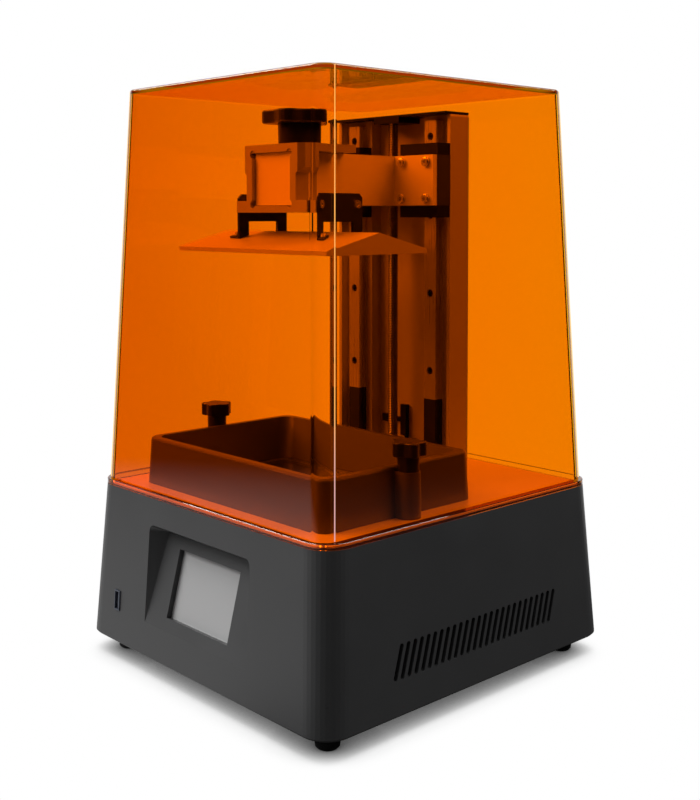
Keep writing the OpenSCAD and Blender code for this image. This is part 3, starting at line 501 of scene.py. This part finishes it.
# Painted highlights: three glowing lines down corners of the cover.
make_painted_corner_highlight("near_corner_painted_highlight", "corner_painted_highlight", 1, -1, turn=351, thin=0.00042)
make_painted_corner_highlight("left_corner_painted_highlight", "cover_painted_edge_highlight", -1, -1, turn=232, thin=0.0006)
make_painted_corner_highlight("right_corner_painted_highlight", "cover_painted_edge_highlight", 1, 1, turn=40, thin=0.0007)
make_top_plate()
make_lead_screw()
make_arm_bolts()


# ---------------------------------------------------------------- stage, light, camera

# Ways over the floor, in degrees from +X.
TO_BACKDROP = 138.0
TO_LEFT_WALL = 227.0
TO_FRONT_ROOM = 215.0
TO_LIGHT_BOXES = 200.0


def along(finish, vector, azimuth):
    """How far a vector points towards an azimuth."""
    return finish.dot(vector, (math.cos(math.radians(azimuth)), math.sin(math.radians(azimuth)), 0.0))


def looked_at(finish):
    """1 where the backdrop is seen straight or through the cover, 0 where it lights or is mirrored."""
    return finish.light_ray("Is Camera Ray").most(finish.light_ray("Is Transmission Ray"))


def behind(finish, vector):
    """1 towards the white backdrop behind the machine, 0 towards the dark front of the studio."""
    return along(finish, vector, TO_BACKDROP).step(0.3, 0.65)


def through_cover(finish, vector):
    """The backdrop is dimmed a little towards the left where the cover is looked through, as painted shade on
    that side of the cover.
    """
    furthest, deepening = 0.22, 0.7
    side = along(finish, vector, TO_LEFT_WALL).most(0.0).least(furthest)
    return 1.0 - finish.light_ray("Is Transmission Ray") * side * deepening


def make_floor():
    """Pale floor with a painted shadow of the machine, from ambient occlusion in its glow, which fades into
    the white backdrop.
    """
    mesh = bpy.data.meshes.new("floor")
    bm = bmesh.new()
    bmesh.ops.create_grid(bm, x_segments=1, y_segments=1, size=20.0)
    bm.to_mesh(mesh)
    bm.free()
    floor = bpy.data.objects.new("floor", mesh)
    bpy.context.scene.collection.objects.link(floor)

    m = material("floor_pale")
    spot = m.place()
    way = m.node("ShaderNodeVectorMath", {"operation": "NORMALIZE"}, {0: spot})
    far = m.node("ShaderNodeVectorMath", {"operation": "LENGTH"}, {0: spot}, out="Value")
    room_dim, room_lit, room_near, room_far = 0.07, 0.7, 0.7, 1.1
    room = room_dim + (room_lit - room_dim) * along(m, way, TO_FRONT_ROOM).step(-0.1, 0.7)
    mirrored = behind(m, way).most((1.0 - far.step(room_near, room_far)) * room)
    ground = m.node("ShaderNodeBsdfDiffuse", {}, {
        "Color": m.blend(mirrored, (0.03, 0.03, 0.03), (0.8, 0.8, 0.8))})
    shadow_reach = 0.034
    # painted shadow: ambient occlusion darkens the floor's glow near the machine, whatever the lamps do
    painted_contact_shadow = m.node("ShaderNodeAmbientOcclusion", {"samples": 24},
                     {"Color": (1, 1, 1), "Distance": shadow_reach}, out="AO")
    look = looked_at(m)
    glow = look * through_cover(m, way) + (1.0 - look) * mirrored
    white = m.node("ShaderNodeEmission", {}, {"Color": (1, 1, 1), "Strength": glow * painted_contact_shadow.step(0.02, 0.8)})
    seen = look.most(m.light_ray("Is Glossy Ray"))
    floor.data.materials.append(m.close(m.mix_shader(seen, ground, white)))


def make_studio():
    """World that is white where it is looked at, and a studio with a backdrop where it is mirrored."""
    world = Finish(bpy.data.worlds.new("studio"))
    bpy.context.scene.world = world.owner
    way = world.node("ShaderNodeTexCoord", out="Generated")
    height = world.dot(way, (0, 0, 1))
    back = behind(world, way)
    box_dim, box_lit, box_foot, box_head = 0.1, 1.0, 0.18, 0.5
    boxes = box_dim + (box_lit - box_dim) * along(world, way, TO_LIGHT_BOXES).step(-0.6, 0.5)
    studio = back + (1.0 - back) * height.step(box_foot, box_head) * boxes
    look = looked_at(world)
    world.close(world.node("ShaderNodeBackground", {}, {
        "Color": (1, 1, 1), "Strength": look * through_cover(world, way) + (1.0 - look) * studio}),
        "ShaderNodeOutputWorld")


def make_lamp(name, place, size, power):
    """Square soft box turned towards the middle of the machine."""
    middle = Vector((0, 0, 0.25))
    data = bpy.data.lights.new(name, "AREA")
    data.shape, data.size, data.energy = "SQUARE", size, power
    made = bpy.data.objects.new(name, data)
    bpy.context.scene.collection.objects.link(made)
    made.location = place
    made.rotation_euler = (middle - Vector(place)).to_track_quat("-Z", "Y").to_euler()


def make_camera():
    data = bpy.data.cameras.new("camera")
    data.lens, data.sensor_width, data.shift_y = 51.42, 36.0, -0.165
    data.clip_start, data.clip_end = 0.01, 50.0
    camera = bpy.data.objects.new("camera", data)
    bpy.context.scene.collection.objects.link(camera)
    bpy.context.scene.camera = camera
    turn, down = math.radians(47.187), math.radians(2.696)
    gaze = Vector((-math.sin(turn) * math.cos(down), math.cos(turn) * math.cos(down), -math.sin(down)))
    camera.location = (0.6452, -0.5919, 0.3367)
    camera.rotation_euler = gaze.to_track_quat("-Z", "Y").to_euler()


make_floor()
make_studio()
make_lamp("left_box", (-1.3, -1.25, 1.85), size=1.8, power=92)
make_lamp("right_box", (1.25, 1.1, 1.8), size=1.6, power=46)
make_camera()
bpy.context.scene.view_settings.view_transform = "Standard"
